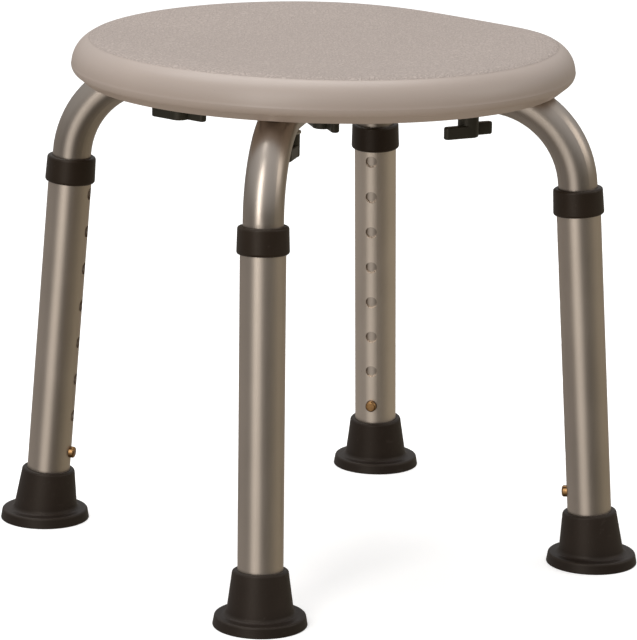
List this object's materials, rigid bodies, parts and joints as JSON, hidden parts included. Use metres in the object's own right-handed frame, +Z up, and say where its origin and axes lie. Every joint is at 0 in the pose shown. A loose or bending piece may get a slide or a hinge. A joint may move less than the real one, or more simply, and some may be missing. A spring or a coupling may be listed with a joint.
{
  "type": "shower stool",
  "caption": "Round backless shower stool with a grained plastic seat on crossed bent tubes, telescoping splayed legs with snap buttons, wing knobs and rubber feet.",
  "frame": {"origin": "on the floor, on the stool's axis", "axes": "+Z up through the seat's centre; the four legs stand on the diagonals, at 45, 135, -135 and -45 degrees from +X, each turned out of its tube's plane by up to 1.3 degrees"},
  "size_m": [0.3262, 0.3288, 0.3365],
  "materials": {
    "seat_plastic": "satin moulded plastic with a fine worm-track grain on top",
    "tube_aluminium": "satin anodised",
    "collar_plastic": "satin moulded",
    "foot_rubber": "satin moulded rubber",
    "knob_plastic": "satin moulded",
    "plated_steel": "zinc plated",
    "brass": "turned",
    "button_bronze": "tumbled spring bronze"
  },
  "bodies": {
    "seat_frame": {"seat": "seat_plastic", "seat_inserts": "brass", "knob_washers": "plated_steel", "frame_tube_upper": "tube_aluminium", "frame_tube_lower": "tube_aluminium"},
    "leg_front_left": {"leg_tube_front_left": "tube_aluminium", "leg_collar_front_left": "collar_plastic", "foot_front_left": "foot_rubber", "foot_washer_front_left": "plated_steel"},
    "button_front_left": {"snap_button_front_left": "button_bronze"},
    "leg_front_right": {"leg_tube_front_right": "tube_aluminium", "leg_collar_front_right": "collar_plastic", "foot_front_right": "foot_rubber", "foot_washer_front_right": "plated_steel"},
    "button_front_right": {"snap_button_front_right": "button_bronze"},
    "leg_rear_right": {"leg_tube_rear_right": "tube_aluminium", "leg_collar_rear_right": "collar_plastic", "foot_rear_right": "foot_rubber", "foot_washer_rear_right": "plated_steel"},
    "button_rear_right": {"snap_button_rear_right": "button_bronze"},
    "leg_rear_left": {"leg_tube_rear_left": "tube_aluminium", "leg_collar_rear_left": "collar_plastic", "foot_rear_left": "foot_rubber", "foot_washer_rear_left": "plated_steel"},
    "button_rear_left": {"snap_button_rear_left": "button_bronze"},
    "knob_centre": {"wing_knob_centre": "knob_plastic", "knob_stud_centre": "plated_steel"},
    "knob_front_left": {"wing_knob_front_left": "knob_plastic", "knob_stud_front_left": "plated_steel"},
    "knob_front_right": {"wing_knob_front_right": "knob_plastic", "knob_stud_front_right": "plated_steel"},
    "knob_rear_right": {"wing_knob_rear_right": "knob_plastic", "knob_stud_rear_right": "plated_steel"},
    "knob_rear_left": {"wing_knob_rear_left": "knob_plastic", "knob_stud_rear_left": "plated_steel"}
  },
  "joints": [
    {"name": "leg_front_left_slide", "type": "slide", "parent": "seat_frame", "child": "leg_front_left", "axis": [-0.0333, -0.0653, -0.9973], "range_m": [0, 0.1778], "deforming": ["snap_button_front_left"]},
    {"name": "button_front_left_press", "type": "slide", "parent": "seat_frame", "child": "button_front_left", "axis": [-0.7065, -0.7043, 0.0697], "range_m": [0, 0.005], "stiffness_N_per_m": 4000},
    {"name": "leg_front_right_slide", "type": "slide", "parent": "seat_frame", "child": "leg_front_right", "axis": [0.0456, -0.053, -0.9976], "range_m": [0, 0.1778], "deforming": ["snap_button_front_right"]},
    {"name": "button_front_right_press", "type": "slide", "parent": "seat_frame", "child": "button_front_right", "axis": [0.7056, -0.7051, 0.0698], "range_m": [0, 0.005], "stiffness_N_per_m": 4000},
    {"name": "leg_rear_right_slide", "type": "slide", "parent": "seat_frame", "child": "leg_rear_right", "axis": [0.0542, 0.0444, -0.9975], "range_m": [0, 0.1778], "deforming": ["snap_button_rear_right"]},
    {"name": "button_rear_right_press", "type": "slide", "parent": "seat_frame", "child": "button_rear_right", "axis": [0.705, 0.7057, 0.0698], "range_m": [0, 0.005], "stiffness_N_per_m": 4000},
    {"name": "leg_rear_left_slide", "type": "slide", "parent": "seat_frame", "child": "leg_rear_left", "axis": [-0.0567, 0.0419, -0.9975], "range_m": [0, 0.1778], "deforming": ["snap_button_rear_left"]},
    {"name": "button_rear_left_press", "type": "slide", "parent": "seat_frame", "child": "button_rear_left", "axis": [-0.7049, 0.7059, 0.0698], "range_m": [0, 0.005], "stiffness_N_per_m": 4000},
    {"name": "knob_centre_turn", "type": "hinge", "parent": "seat_frame", "child": "knob_centre", "pos_m": [0, 0, 0.285], "axis": [0, 0, 1], "continuous": true},
    {"name": "knob_front_left_turn", "type": "hinge", "parent": "seat_frame", "child": "knob_front_left", "pos_m": [-0.06788, -0.06788, 0.285], "axis": [0, 0, 1], "continuous": true},
    {"name": "knob_front_right_turn", "type": "hinge", "parent": "seat_frame", "child": "knob_front_right", "pos_m": [0.06788, -0.06788, 0.285], "axis": [0, 0, 1], "continuous": true},
    {"name": "knob_rear_right_turn", "type": "hinge", "parent": "seat_frame", "child": "knob_rear_right", "pos_m": [0.06788, 0.06788, 0.285], "axis": [0, 0, 1], "continuous": true},
    {"name": "knob_rear_left_turn", "type": "hinge", "parent": "seat_frame", "child": "knob_rear_left", "pos_m": [-0.06788, 0.06788, 0.285], "axis": [0, 0, 1], "continuous": true}
  ]
}
